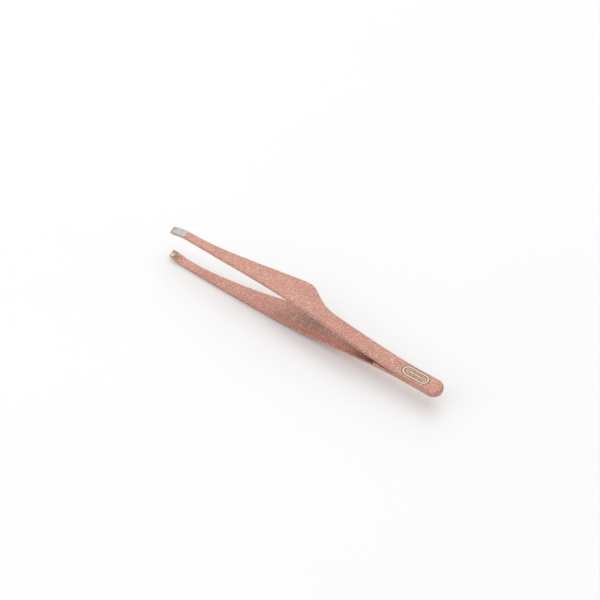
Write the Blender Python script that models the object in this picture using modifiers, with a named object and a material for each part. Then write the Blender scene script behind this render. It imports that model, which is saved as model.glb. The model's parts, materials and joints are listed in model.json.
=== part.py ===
"""Slant tweezers: two steel blades welded at the butt over a wedge, sprung open, with bare slanted jaws.

Frame: +X runs along the length from the jaws to the butt, +Y to the side that carries the finger
rests, +Z is the direction in which the blades open. The origin is at the bottom centre of the
whole part. A station is a distance along the length from the butt end, towards the jaws.
"""

import math

import bmesh
import bpy
from mathutils import Matrix, Vector

MM = 0.001

# Overall sizes
LENGTH = 95.0 * MM
SHEET_THICKNESS = 1.0 * MM
CREST_HALF_HEIGHT = 6.4 * MM        # middle plane to the outer face, at the crest of the bow
JAW_OPENING = 9.2 * MM              # between the two jaw edges at rest

# Outline of one blade, as half widths on each side of its centre line
BUTT_HALF_WIDTH = 2.95 * MM
BUTT_END_LENGTH = 2.8 * MM          # length of the rounded end
NECK_STATION = 35.2 * MM
NECK_HALF_WIDTH = 2.7 * MM
REST_STATION = 49.5 * MM            # widest point of the finger rest
REST_HALF_WIDTH = 7.35 * MM
REST_ROUND_LENGTH = 2.6 * MM        # from the widest point to where the long taper begins
REST_LATENESS = 1.8                 # 1 is an even S from the neck, more keeps low for longer
JAW_FAR_HALF_WIDTH = 1.4 * MM
JAW_NEAR_HALF_WIDTH = 1.3 * MM
JAW_PARALLEL_LENGTH = 10.0 * MM     # the far edge runs straight over the last stretch
TAPER_POWER = 1.5
NEAR_BEND_STATION = 74.0 * MM       # the plain edge turns in slightly here
NEAR_BEND_HALF_WIDTH = 1.9 * MM
SLANT_RUN = 0.45 * MM               # how much shorter the jaw edge is on the plain side

# Side profile of one blade
WELD_GAP = 0.3 * MM                 # left between the blades at the butt
BOW_START = 10.0 * MM
CREST_SETBACK = 19.0 * MM           # from the jaw edge back to the start of the flat crest
HOOK_LENGTH = 5.6 * MM              # the blades turn in over the last stretch
HOOK_DROP = 1.38 * MM
HOOK_POWER = 1.2
JAW_CLOSED_GAP = 0.05 * MM          # what is left between the ground jaw faces when closed

# Where the blades are divided
FLEX_STATION = 26.0 * MM            # each blade turns about this station
BARE_LENGTH = 4.85 * MM             # uncoated steel at the jaw
SEAM_GAP = 0.3 * MM                 # between neighbouring solids

# Spot welds
WELD_STATIONS = {"weld_rear": 4.2 * MM, "weld_front": 8.6 * MM}
WELD_DIAMETER = 2.0 * MM
WELD_THICKNESS = 0.6 * MM
WELD_CLEARANCE = 0.3 * MM

# Spacer wedge in the crotch, welded to the lower blade
WEDGE_START = 16.5 * MM
WEDGE_END = 21.3 * MM
WEDGE_SLIT = 0.6 * MM               # open slit above the wedge at its square front end

# Facets
PROFILE_STEP = 1.6 * MM
OUTLINE_STEP = 1.6 * MM
END_STEPS = 10
WELD_SIDES = 32
EDGE_ROUND = 0.18 * MM
EDGE_SEGMENTS = 2
EDGE_ANGLE = math.radians(50.0)

BUTT_HALF_HEIGHT = WELD_GAP / 2 + SHEET_THICKNESS
MIDDLE = Vector((LENGTH / 2, (BUTT_HALF_WIDTH - REST_HALF_WIDTH) / 2, CREST_HALF_HEIGHT))


def blend(value, start, end):
    """Go from 0 to 1 between start and end, level at both ends: 3t² - 2t³."""
    t = min(max((value - start) / (end - start), 0.0), 1.0)
    return t * t * (3.0 - 2.0 * t)


def bow(station):
    """Height of the outer face above the middle plane, without the turned-in jaw.

    The slope follows u(1 - u)², so the blade bends most near the butt and flattens at the crest.
    """
    u = (station - BOW_START) / (LENGTH - CREST_SETBACK - BOW_START)
    u = min(max(u, 0.0), 1.0)
    rise = CREST_HALF_HEIGHT - BUTT_HALF_HEIGHT
    return BUTT_HALF_HEIGHT + rise * (6 * u**2 - 8 * u**3 + 3 * u**4)


def outer_height(station):
    """Height of the outer face: the bow, less the hook that brings the jaws together."""
    into_hook = max(station - (LENGTH - HOOK_LENGTH), 0.0) / HOOK_LENGTH
    return bow(station) - HOOK_DROP * into_hook**HOOK_POWER


FLEX_HEIGHT = outer_height(FLEX_STATION) - SHEET_THICKNESS / 2


def closing_angle():
    """Angle that each blade turns through until the ground jaw faces lie level, almost touching.

    The jaw face is level and JAW_CLOSED_GAP / 2 above the middle plane when closed. Turned back
    about the flexing station by this angle, its end is at half the jaw opening.
    """
    reach = LENGTH - FLEX_STATION
    lift = JAW_OPENING / 2 - FLEX_HEIGHT
    depth = FLEX_HEIGHT - JAW_CLOSED_GAP / 2
    return math.atan2(lift, reach) + math.asin(depth / math.hypot(reach, lift))


CLOSING_ANGLE = closing_angle()


def jaw_height(station):
    """Height of the ground jaw face at rest, a straight line tilted by the closing angle."""
    depth = FLEX_HEIGHT - JAW_CLOSED_GAP / 2
    return (FLEX_HEIGHT - depth / math.cos(CLOSING_ANGLE)
            + (station - FLEX_STATION) * math.tan(CLOSING_ANGLE))


def inner_height(station):
    """Height of the inner face: one sheet thickness below the outer, or the jaw if higher."""
    return max(outer_height(station) - SHEET_THICKNESS, jaw_height(station))


def near_width(station):
    """Half width on the plain side: straight from the butt, then in towards the jaw."""
    bend = min(NEAR_BEND_STATION, LENGTH - JAW_PARALLEL_LENGTH)
    if station < bend:
        part = station / bend
        return BUTT_HALF_WIDTH + part * (NEAR_BEND_HALF_WIDTH - BUTT_HALF_WIDTH)
    part = (station - bend) / (LENGTH - bend)
    return NEAR_BEND_HALF_WIDTH + part * (JAW_NEAR_HALF_WIDTH - NEAR_BEND_HALF_WIDTH)


def far_width(station):
    """Half width on the finger-rest side: butt, neck, rounded rest, then the long taper."""
    if station < NECK_STATION:
        return BUTT_HALF_WIDTH + (NECK_HALF_WIDTH - BUTT_HALF_WIDTH) * station / NECK_STATION
    if station < REST_STATION:
        climb = (station - NECK_STATION) / (REST_STATION - NECK_STATION)
        rise = blend(climb**REST_LATENESS, 0.0, 1.0)
        return NECK_HALF_WIDTH + (REST_HALF_WIDTH - NECK_HALF_WIDTH) * rise
    taper_start = REST_STATION + REST_ROUND_LENGTH
    taper_length = LENGTH - JAW_PARALLEL_LENGTH - taper_start
    steepness = TAPER_POWER * REST_ROUND_LENGTH / (2 * taper_length)
    # The round drops by what makes its slope meet the slope of the taper.
    drop = steepness * (REST_HALF_WIDTH - JAW_FAR_HALF_WIDTH) / (1 + steepness)
    if station < taper_start:
        return REST_HALF_WIDTH - drop * ((station - REST_STATION) / REST_ROUND_LENGTH) ** 2
    left = max(taper_start + taper_length - station, 0.0) / taper_length
    height = REST_HALF_WIDTH - drop - JAW_FAR_HALF_WIDTH
    return JAW_FAR_HALF_WIDTH + height * left**TAPER_POWER


def spread(start, end, step):
    """Stations from start to end, evenly spaced at about the step."""
    count = max(int(math.ceil((end - start) / step)), 1)
    return [start + (end - start) * i / count for i in range(count + 1)]


def in_frame(station, side, height):
    """Turn a station, a distance to the finger-rest side and a height into a point."""
    return MIDDLE + Vector((-station, side, height))


def collection(name):
    made = bpy.data.collections.new(name)
    bpy.context.scene.collection.children.link(made)
    return made


def material(name, colour, roughness, metallic):
    made = bpy.data.materials.new(name)
    made.use_nodes = True
    shader = made.node_tree.nodes["Principled BSDF"]
    shader.inputs["Base Color"].default_value = (*colour, 1.0)
    shader.inputs["Roughness"].default_value = roughness
    shader.inputs["Metallic"].default_value = metallic
    return made


def outline_solid(name, points, half_thickness, matrix, target):
    """A flat outline, filled on both sides and extruded, made a mesh and welded at its rims."""
    curve = bpy.data.curves.new(name, "CURVE")
    curve.dimensions = "2D"
    curve.fill_mode = "BOTH"
    curve.extrude = half_thickness
    spline = curve.splines.new("POLY")
    spline.points.add(len(points) - 1)
    for spot, (along, across) in zip(spline.points, points):
        spot.co = (along, across, 0.0, 1.0)
    spline.use_cyclic_u = True
    guide = bpy.data.objects.new(name + "_outline", curve)
    target.objects.link(guide)
    bpy.context.view_layer.update()
    evaluated = guide.evaluated_get(bpy.context.evaluated_depsgraph_get())
    mesh = bpy.data.meshes.new_from_object(evaluated)
    bpy.data.objects.remove(guide)
    mesh.transform(matrix)
    shell = bmesh.new()
    shell.from_mesh(mesh)
    bmesh.ops.remove_doubles(shell, verts=shell.verts, dist=1e-7)
    bmesh.ops.recalc_face_normals(shell, faces=shell.faces)
    shell.to_mesh(mesh)
    shell.free()
    solid = bpy.data.objects.new(name, mesh)
    target.objects.link(solid)
    return solid


def make_cutter(solid):
    solid.hide_render = True
    solid.display_type = "WIRE"
    return solid


def sheet_strip(name, sign, target):
    """The bent sheet of one blade seen from the side, wider than the blade."""
    overhang = PROFILE_STEP / 2
    stations = spread(-overhang, LENGTH + overhang, PROFILE_STEP)
    top = [(-s, sign * outer_height(s)) for s in stations]
    bottom = [(-s, sign * inner_height(s)) for s in reversed(stations)]
    stand_up = Matrix.Translation(MIDDLE) @ Matrix.Rotation(math.radians(90.0), 4, "X")
    return make_cutter(outline_solid(name, top + bottom, 2 * REST_HALF_WIDTH, stand_up, target))


def butt_outline():
    """Round end at the butt, then both edges up to the flexing station."""
    last = FLEX_STATION - SEAM_GAP / 2
    turns = [math.pi * (i / END_STEPS - 0.5) for i in range(END_STEPS + 1)]
    half = far_width(BUTT_END_LENGTH)
    end = [(-BUTT_END_LENGTH * (1 - math.cos(a)), half * math.sin(a)) for a in turns]
    stations = spread(BUTT_END_LENGTH, last, OUTLINE_STEP)[1:]
    far = [(-s, far_width(s)) for s in stations]
    near = [(-s, -near_width(s)) for s in reversed(stations)]
    return end + far + near


def blade_outline(start, end, start_slant, end_slant):
    """Both edges between two cuts. A slanted cut lies nearer the butt on the plain side."""
    far_stations = spread(start, end, OUTLINE_STEP)
    near_stations = spread(start - start_slant, end - end_slant, OUTLINE_STEP)
    far = [(-s, far_width(s)) for s in far_stations]
    near = [(-s, -near_width(s)) for s in reversed(near_stations)]
    return far + near


def wedge_strip(name, target):
    """Side view of the wedge: it follows the lower blade, and its top is straight."""
    stations = spread(WEDGE_START, WEDGE_END, PROFILE_STEP / 2)
    first_top = inner_height(WEDGE_START) - SEAM_GAP
    last_top = inner_height(WEDGE_END) - WEDGE_SLIT
    bottom = [(-s, SEAM_GAP - inner_height(s)) for s in stations]
    top = [(-WEDGE_END, last_top), (-WEDGE_START, first_top)]
    stand_up = Matrix.Translation(MIDDLE) @ Matrix.Rotation(math.radians(90.0), 4, "X")
    return make_cutter(outline_solid(name, bottom + top, 2 * REST_HALF_WIDTH, stand_up, target))


def finish_piece(piece, strip, pivot, look):
    """Trim an outline to the bent sheet, round its edges and put its origin on its axis."""
    trim = piece.modifiers.new("bent_sheet", "BOOLEAN")
    trim.operation = "INTERSECT"
    trim.solver = "EXACT"
    trim.object = strip
    rounding = piece.modifiers.new("soft_edges", "BEVEL")
    rounding.width = EDGE_ROUND
    rounding.segments = EDGE_SEGMENTS
    rounding.limit_method = "ANGLE"
    rounding.angle_limit = EDGE_ANGLE
    piece.data.transform(Matrix.Translation(-pivot))
    piece.location = pivot
    piece.data.materials.append(look)
    return piece


def weld_solid(name, station, diameter, height, target):
    bpy.ops.mesh.primitive_cylinder_add(
        vertices=WELD_SIDES,
        radius=diameter / 2,
        depth=height,
        location=in_frame(station, 0.0, 0.0),
    )
    solid = bpy.context.object
    solid.name = name
    solid.data.name = name
    for holder in solid.users_collection:
        holder.objects.unlink(solid)
    target.objects.link(solid)
    solid.data.shade_smooth()
    solid.data.set_sharp_from_angle(angle=EDGE_ANGLE)
    return solid


def main():
    for old in list(bpy.data.objects):
        bpy.data.objects.remove(old)
    parts = collection("slant_tweezers")
    cutters = collection("cutters")
    coat = material("glitter_coat", (0.60, 0.30, 0.23), 0.38, 0.65)
    bare = material("bare_steel", (0.62, 0.60, 0.57), 0.32, 1.0)
    weld = material("weld_steel", (0.35, 0.34, 0.33), 0.55, 1.0)

    pocket_height = WELD_THICKNESS + 2 * WELD_CLEARANCE
    pocket_diameter = WELD_DIAMETER + 2 * WELD_CLEARANCE
    pockets = []
    for name, station in WELD_STATIONS.items():
        nugget = weld_solid(name, station, WELD_DIAMETER, WELD_THICKNESS, parts)
        nugget.data.materials.append(weld)
        pocket = weld_solid(name + "_pocket", station, pocket_diameter, pocket_height, cutters)
        pockets.append(make_cutter(pocket))

    coat_end = LENGTH - BARE_LENGTH
    lay_flat = Matrix.Translation(MIDDLE)
    outlines = {
        "butt": butt_outline(),
        "arm": blade_outline(FLEX_STATION + SEAM_GAP / 2, coat_end - SEAM_GAP / 2, 0.0, SLANT_RUN),
        "jaw": blade_outline(coat_end + SEAM_GAP / 2, LENGTH, SLANT_RUN, SLANT_RUN),
    }
    overhang = PROFILE_STEP
    wedge_plan = blade_outline(WEDGE_START - overhang, WEDGE_END + overhang, 0.0, 0.0)
    wedge = outline_solid("spacer_wedge", wedge_plan, CREST_HALF_HEIGHT, lay_flat, parts)
    butt_end = in_frame(0.0, 0.0, 0.0)
    finish_piece(wedge, wedge_strip("wedge_side", cutters), butt_end, coat)

    for blade, sign in (("upper", 1), ("lower", -1)):
        strip = sheet_strip(blade + "_sheet", sign, cutters)
        axis_point = in_frame(FLEX_STATION, 0.0, sign * FLEX_HEIGHT)
        for stretch, outline in outlines.items():
            piece = outline_solid(
                blade + "_" + stretch, outline, 2 * CREST_HALF_HEIGHT, lay_flat, parts
            )
            pivot = butt_end if stretch == "butt" else axis_point
            look = bare if stretch == "jaw" else coat
            finish_piece(piece, strip, pivot, look)
            if stretch == "butt":
                for pocket in pockets:
                    hollow = piece.modifiers.new(pocket.name, "BOOLEAN")
                    hollow.operation = "DIFFERENCE"
                    hollow.solver = "EXACT"
                    hollow.object = pocket


main()
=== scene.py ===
# %% [markdown]
# # Slant tweezers with a rose glitter coat
# Two strips of spring steel are welded together at the butt and sprung open. Both wear a coat full
# of fine glitter, and only the ground jaws stay bare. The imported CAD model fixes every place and
# size. This script builds the looks around it and never moves it.

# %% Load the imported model
import json
import math

import bmesh
import bpy
import numpy as np
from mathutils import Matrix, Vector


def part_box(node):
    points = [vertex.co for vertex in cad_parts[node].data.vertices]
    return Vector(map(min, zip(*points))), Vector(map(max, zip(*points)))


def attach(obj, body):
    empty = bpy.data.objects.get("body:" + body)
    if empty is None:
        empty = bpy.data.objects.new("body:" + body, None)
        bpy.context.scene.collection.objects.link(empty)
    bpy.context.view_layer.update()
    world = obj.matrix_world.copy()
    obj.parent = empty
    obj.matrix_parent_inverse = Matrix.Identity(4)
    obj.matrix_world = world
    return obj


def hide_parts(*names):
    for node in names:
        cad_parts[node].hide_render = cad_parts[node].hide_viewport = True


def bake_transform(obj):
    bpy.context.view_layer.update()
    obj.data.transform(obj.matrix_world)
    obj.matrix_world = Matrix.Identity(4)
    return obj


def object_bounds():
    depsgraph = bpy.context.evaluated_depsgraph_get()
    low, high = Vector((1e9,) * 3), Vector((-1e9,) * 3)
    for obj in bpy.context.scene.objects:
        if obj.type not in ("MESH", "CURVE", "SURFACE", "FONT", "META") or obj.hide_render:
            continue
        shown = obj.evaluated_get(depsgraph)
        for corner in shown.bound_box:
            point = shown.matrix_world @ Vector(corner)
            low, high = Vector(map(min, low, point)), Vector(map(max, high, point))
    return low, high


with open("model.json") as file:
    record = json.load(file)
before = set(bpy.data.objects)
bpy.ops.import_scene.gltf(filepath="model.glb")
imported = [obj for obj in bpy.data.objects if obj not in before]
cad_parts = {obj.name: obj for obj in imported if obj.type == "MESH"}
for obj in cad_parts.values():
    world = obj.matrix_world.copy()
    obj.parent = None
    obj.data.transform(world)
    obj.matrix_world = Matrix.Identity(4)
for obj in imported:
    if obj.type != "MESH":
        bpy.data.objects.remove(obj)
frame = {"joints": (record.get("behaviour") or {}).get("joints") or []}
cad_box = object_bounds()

# %% [markdown]
# ## Sizes
# The blades are described by a station, the distance from the butt end towards the jaws, by a
# distance across to the finger-rest side, and by a height above the middle plane. What the frame
# knows is read from it: the length, the heights, the hinge and how far the blades close.

# %% Sizes from the frame
MM = 0.001
low, high = (np.array(corner) for corner in cad_box)
LENGTH = high[0] - low[0]
MIDDLE_Z = (low[2] + high[2]) / 2
CREST_HEIGHT = (high[2] - low[2]) / 2
weld_low, weld_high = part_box("weld_rear")
CENTRE_Y = (weld_low.y + weld_high.y) / 2
HALF_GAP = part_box("upper_butt")[0].z - MIDDLE_Z

joints = {joint["name"]: joint for joint in frame["joints"]}
hinge = joints["upper_flex"]["pos_m"]
FLEX_STATION = high[0] - hinge[0]
FLEX_HEIGHT = hinge[2] - MIDDLE_Z
CLOSING_ANGLE = math.radians(joints["upper_flex"]["range_deg"][1])
WEDGE_END = high[0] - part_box("spacer_wedge")[0].x
BARE_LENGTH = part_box("upper_jaw")[1].x - low[0]
print(f"length {LENGTH / MM:.2f} mm, crest {CREST_HEIGHT / MM:.2f} mm, "
      f"closes by {math.degrees(CLOSING_ANGLE):.2f} degrees about station {FLEX_STATION / MM:.1f}")


# %% [markdown]
# ## A soft step
# Many things on a blade change over a short stretch: an edge gets rounder, a coat gets thinner. A
# plain ramp would leave a crease at both ends. This cubic starts and ends level, so it doesn't.

# %% The soft step
def smooth(value, start, end):
    """Go from 0 at start to 1 at end, level at both ends: 3t² - 2t³."""
    t = np.clip((value - start) / (end - start), 0.0, 1.0)
    return t * t * (3.0 - 2.0 * t)


print(f"a quarter of the way along, the step is at {smooth(0.25, 0.0, 1.0):.3f}")

# %% [markdown]
# ## The bent sheet, seen from the side
# A maker bends the strip in a press tool: level at the butt, a quick rise, a long flat crest, and a
# hook that turns the jaws in. A polynomial gives that in one line. Its slope goes as u(1 - u)², so
# the bend is strongest near the butt. The inner jaw face is ground level while the tweezers are
# held shut, so at rest it is a straight line tilted by the closing angle.

# %% Heights of the outer and inner faces
SHEET = 1.0 * MM
BUTT_HALF_HEIGHT = HALF_GAP + SHEET
BOW_START = 10.0 * MM
BOW_END = LENGTH - 19.0 * MM
HOOK_LENGTH = 5.6 * MM
HOOK_DROP = 1.38 * MM
HOOK_POWER = 1.2
JAW_CLOSED_GAP = 0.05 * MM


def outer_height(station):
    """Butt height plus rise times 6u² - 8u³ + 3u⁴, less the hook's drop near the jaw."""
    u = np.clip((station - BOW_START) / (BOW_END - BOW_START), 0.0, 1.0)
    rise = CREST_HEIGHT - BUTT_HALF_HEIGHT
    into_hook = np.clip(station - (LENGTH - HOOK_LENGTH), 0.0, None) / HOOK_LENGTH
    bow = BUTT_HALF_HEIGHT + rise * (6 * u**2 - 8 * u**3 + 3 * u**4)
    return bow - HOOK_DROP * into_hook**HOOK_POWER


def inner_height(station):
    """One sheet below the outer face, or the ground jaw line where that is higher."""
    depth = FLEX_HEIGHT - JAW_CLOSED_GAP / 2
    jaw = (FLEX_HEIGHT - depth / math.cos(CLOSING_ANGLE)
           + (station - FLEX_STATION) * math.tan(CLOSING_ANGLE))
    return np.maximum(outer_height(station) - SHEET, jaw)


print(f"jaws open by {2 * inner_height(LENGTH) / MM:.2f} mm, "
      f"{(outer_height(LENGTH) - inner_height(LENGTH)) / MM:.2f} mm thick at the tip")

# %% [markdown]
# ## The outline, seen from above
# The plain side is almost straight. The other side narrows to a neck, swells into a finger rest and
# runs down to the jaw in one long hollow taper. Each stretch is a formula that starts with the
# slope of the one before, so no corner shows.

# %% Half widths on both sides
BUTT_HALF_WIDTH = 2.95 * MM
NECK_STATION = 35.2 * MM
NECK_HALF_WIDTH = 2.7 * MM
REST_STATION = 49.5 * MM
REST_HALF_WIDTH = high[1] - CENTRE_Y
REST_LATENESS = 1.8
REST_ROUND_LENGTH = 2.6 * MM
TAPER_POWER = 1.5
JAW_FAR = 1.4 * MM
JAW_NEAR = 1.3 * MM
JAW_PARALLEL = 10.0 * MM
NEAR_BEND_STATION = 74.0 * MM
NEAR_BEND = 1.9 * MM


def near_width(station):
    """Straight from the butt to a slight bend, then straight to the jaw."""
    return np.interp(station, (0.0, NEAR_BEND_STATION, LENGTH), (BUTT_HALF_WIDTH, NEAR_BEND, JAW_NEAR))


def far_width(station):
    """Butt to neck, late smooth rise to the rest, parabola over its round, power-law taper."""
    taper_start = REST_STATION + REST_ROUND_LENGTH
    taper_length = LENGTH - JAW_PARALLEL - taper_start
    steepness = TAPER_POWER * REST_ROUND_LENGTH / (2 * taper_length)
    drop = steepness * (REST_HALF_WIDTH - JAW_FAR) / (1 + steepness)
    handle = np.interp(station, (0.0, NECK_STATION), (BUTT_HALF_WIDTH, NECK_HALF_WIDTH))
    climb = np.clip((station - NECK_STATION) / (REST_STATION - NECK_STATION), 0.0, 1.0)
    shoulder = handle + (REST_HALF_WIDTH - handle) * smooth(climb**REST_LATENESS, 0.0, 1.0)
    crown = REST_HALF_WIDTH - drop * ((station - REST_STATION) / REST_ROUND_LENGTH) ** 2
    left = np.clip(taper_start + taper_length - station, 0.0, None) / taper_length
    taper = JAW_FAR + (REST_HALF_WIDTH - drop - JAW_FAR) * left**TAPER_POWER
    return np.where(station < REST_STATION, shoulder, np.where(station < taper_start, crown, taper))


for label, station in (("neck", NECK_STATION), ("finger rest", REST_STATION), ("jaw", LENGTH)):
    print(f"{label}: {(near_width(station) + far_width(station)) / MM:.2f} mm wide")

# %% [markdown]
# ## Rows along the blade
# A surface on a grid needs rows. Each row joins a point of the plain edge to a point of the other
# edge, and the rows shrink to their middle at both ends: round the butt, and round the small corners
# of the jaw. Rows stand closer together near the jaw, where the coat stops. A grid with square ends
# would be shorter to write, but the round butt would then need cutting out.

# %% Rows round the butt and along the body
BUTT_END_LENGTH = 2.8 * MM


def butt_rows(count):
    """Half an ellipse: station R(1 - cos a), half widths times sin a, for a quarter turn of a."""
    turn = np.linspace(0.0, math.pi / 2, count + 1)
    station = BUTT_END_LENGTH * (1 - np.cos(turn))
    return station, -near_width(station) * np.sin(turn), far_width(station) * np.sin(turn)


def body_rows(start, end, step, inset):
    """Evenly spaced stations with both edges, pulled in by the inset."""
    station = np.linspace(start, end, max(int((end - start) / step), 2) + 1)
    return station, inset - near_width(station), far_width(station) - inset


print(f"four steps round the butt stand at {np.round(butt_rows(4)[0] / MM, 2)} mm")


# %% [markdown]
# The jaw's end is straight with a small round at each corner, as a stone leaves it. Two quarter
# circles do that, and the straight end is walked from both sides to its middle, where the last row
# has no width.

# %% Rows round the corners, and joining stretches
def corner_rows(end, direction, radius, inset, count=7):
    """A quarter circle at each corner, then along the end to its middle."""
    turn = np.linspace(0.0, math.pi / 2, count)
    share = np.linspace(0.0, 1.0, count)[1:]
    near = float(near_width(end)) - inset
    far = float(far_width(end)) - inset
    arc_station = end - direction * radius * (1 - np.sin(turn))
    station = np.concatenate([arc_station, np.full(count - 1, end)])
    middle = (far - near) / 2
    left = np.concatenate([-near + radius * (1 - np.cos(turn)),
                           (radius - near) * (1 - share) + middle * share])
    right = np.concatenate([far - radius * (1 - np.cos(turn)),
                            (far - radius) * (1 - share) + middle * share])
    return station, left, right


def flip_rows(stretch):
    return [part[::-1] for part in stretch]


def join_rows(first, *others):
    """Stretches end to end. Each later one drops its first row, which repeats the last one."""
    later = [[part[1:] for part in stretch] for stretch in others]
    return [np.concatenate(parts) for parts in zip(first, *later)]


trial = corner_rows(LENGTH, 1.0, 0.1 * MM, 0.0)
print(f"{len(trial[0])} rows round a corner, and the last is {(trial[2] - trial[1])[-1]:.1f} wide")

# %% [markdown]
# ## One surface round a blade
# The section is a flat strip with rounded edges. Carried along the rows it gives the whole blade.
# The rounding steps in square to the outline, not straight across, so it turns round the butt and
# the jaw as a file would leave it. A boolean of two extruded outlines makes the same body but
# leaves sharp rims, and a bevel on those tears at the small facets.

# %% The section
ARC_STEPS = 7
FACE_STEPS = 14


def section():
    """Columns once round: side 0 to 1, then inset and drop in edge radii, and 1 for the top half.

    On a quarter turn c the inset is 1 - cos c and the drop 1 - sin c.
    """
    c = np.linspace(0.0, math.pi / 2, ARC_STEPS + 1)
    inset, drop = 1 - np.cos(c), 1 - np.sin(c)
    across = np.linspace(0.0, 1.0, FACE_STEPS + 1)[1:-1]
    flat = np.ones_like(across)
    side = np.concatenate([0 * c, across, 1 + 0 * c, 1 + 0 * c, across[::-1], 0 * c])
    insets = np.concatenate([inset, flat, inset[::-1], inset, flat, inset[::-1]])
    drops = np.concatenate([drop, 0 * flat, drop[::-1], drop, 0 * flat, drop[::-1]])
    half = len(side) // 2
    top = np.concatenate([np.ones(half), np.zeros(half)])
    return side, insets, drops, top


print(f"columns once round the section: {len(section()[0])}")

# %% [markdown]
# The jaws are cut a little out of square, which is the slant that picks up a single hair. A shear
# that grows over the last stretch gives that without a cut, and the rows stay evenly spread.

# %% The slanted end and the outline's normals
SLANT_RUN = 0.45 * MM
SLANT_FROM = LENGTH - 20 * MM
SLANT_FULL = LENGTH - 8 * MM


def slant(station, across):
    """Shear that leaves the finger-rest side in place and shortens the plain side."""
    share = (across + JAW_NEAR) / (JAW_FAR + JAW_NEAR)
    return station - SLANT_RUN * smooth(station, SLANT_FROM, SLANT_FULL) * (1 - share)


def inward(station, edge, turn):
    """Unit normals of an outline, square to its central differences."""
    run, rise = np.gradient(station), np.gradient(edge)
    size = np.hypot(run, rise)
    return -turn * rise / size, turn * run / size


print(f"the jaw is {math.degrees(math.atan(SLANT_RUN / (JAW_FAR + JAW_NEAR))):.1f} degrees out of square")


# %% [markdown]
# Now the section and the rows meet. Every point is one row and one column: the row says where along
# the blade, the column where round the strip. Both are whole arrays, so numpy works out all of the
# points together.

# %% The wrapped strip
def wrap(rows, top, bottom, top_edge, bottom_edge, sign):
    """Grid of points round a strip between two height functions, with rounded edges.

    top and bottom take the true station, the station before the slant, and the distance across.
    """
    station, near, far = (part[:, None] for part in rows)
    side, insets, drops, is_top = (part[None, :] for part in section())
    near_in = inward(rows[0], rows[1], 1.0)
    far_in = inward(rows[0], rows[2], -1.0)
    edge_top, edge_bottom = top_edge(station), bottom_edge(station)
    inset = insets * np.where(is_top > 0, edge_top, edge_bottom)
    along = station + inset * ((1 - side) * near_in[0][:, None] + side * far_in[0][:, None])
    across = ((1 - side) * (near + inset * near_in[1][:, None])
              + side * (far + inset * far_in[1][:, None]))
    true_along = slant(along, across)
    upper = top(true_along, along, across) - drops * edge_top
    lower = bottom(true_along, along, across) + drops * edge_bottom
    height = np.where(is_top > 0, upper, lower)
    return np.stack([high[0] - true_along, CENTRE_Y + across, MIDDLE_Z + sign * height], axis=-1)


def even_edge(radius):
    """The same edge radius at every station."""
    return lambda station: radius + 0.0 * station


trial = wrap(body_rows(NECK_STATION, REST_STATION, 1.0 * MM, 0.0),
             lambda station, level, across: outer_height(station),
             lambda station, level, across: inner_height(station),
             even_edge(0.1 * MM), even_edge(0.1 * MM), 1)
print(f"a trial strip from neck to rest has a grid of {trial.shape[0]} by {trial.shape[1]} points")


# %% [markdown]
# A grid of points becomes a mesh by joining each point to its neighbours. The columns close on
# themselves. At the ends points fall together, so doubles are merged, and the faces are turned
# outwards. The end rows of a wrapped strip fall on one line, and some thin edges stay unjoined
# there, so each piece prints how many. Edges sharper than the limit stay crisp, and the rest are
# shaded as one round surface.

# %% From a grid to a finished piece
MERGE_DISTANCE = 2e-7
SLIVER_LENGTH = 1e-7
CRISP_ANGLE = 40.0


def finish_mesh(name, mesh, sharp_angle):
    """Merge doubles, drop flat slivers, turn every face outwards and shade smoothly."""
    shell = bmesh.new()
    shell.from_mesh(mesh)
    bmesh.ops.remove_doubles(shell, verts=shell.verts, dist=MERGE_DISTANCE)
    bmesh.ops.dissolve_degenerate(shell, edges=shell.edges, dist=SLIVER_LENGTH)
    bmesh.ops.recalc_face_normals(shell, faces=shell.faces)
    unjoined = sum(not edge.is_manifold for edge in shell.edges)
    shell.to_mesh(mesh)
    shell.free()
    mesh.shade_smooth()
    mesh.set_sharp_from_angle(angle=math.radians(sharp_angle))
    piece = bpy.data.objects.new(name, mesh)
    bpy.context.scene.collection.objects.link(piece)
    print(f"{name}: {len(mesh.polygons)} faces, {unjoined} edges that don't join just two")
    return piece


def grid_piece(name, points, sharp_angle=CRISP_ANGLE):
    """Mesh from a grid whose last column joins its first."""
    row_count, column_count = points.shape[:2]
    index = np.arange(row_count * column_count).reshape(row_count, column_count)
    beside = np.roll(index, -1, axis=1)
    quads = np.stack([index[:-1], beside[:-1], beside[1:], index[1:]], axis=-1).reshape(-1, 4)
    mesh = bpy.data.meshes.new(name)
    mesh.from_pydata(points.reshape(-1, 3), [], quads)
    return finish_mesh(name, mesh, sharp_angle)


print(f"points closer than {MERGE_DISTANCE / MM:.4f} mm are merged")

# %% [markdown]
# ## The coat on each blade
# The coat covers the whole strip, and the jaw faces are ground bare after coating. So the coated
# body runs on to the jaw, a few hundredths of a millimetre lower where it was ground, and the steel
# shows through there while the side walls stay coated. At the butt both bodies meet on the middle
# plane with almost no rounding, because the coat fills the joint.

# %% Heights of the coat
COAT_STEP = 0.05 * MM
COAT_THICKNESS = 0.06 * MM
COAT_FULL = LENGTH - 25 * MM
COAT_THINNED = LENGTH - 12 * MM
OUTER_GRIND = {"upper": 0.42 * MM, "lower": 0.10 * MM}
BARE_START = LENGTH - BARE_LENGTH
OUTER_BLUR = 0.1 * MM
INNER_BARE_NEAR = 1.0 * MM
INNER_BARE_FAR = 2.3 * MM
INNER_BLUR = 0.15 * MM
JOINT_FROM = 10.5 * MM
JOINT_TO = 16.0 * MM


def closed_joint(station):
    """Share of the inner height that is kept: none at the butt, all of it past the joint."""
    return smooth(station, JOINT_FROM, JOINT_TO)


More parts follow.
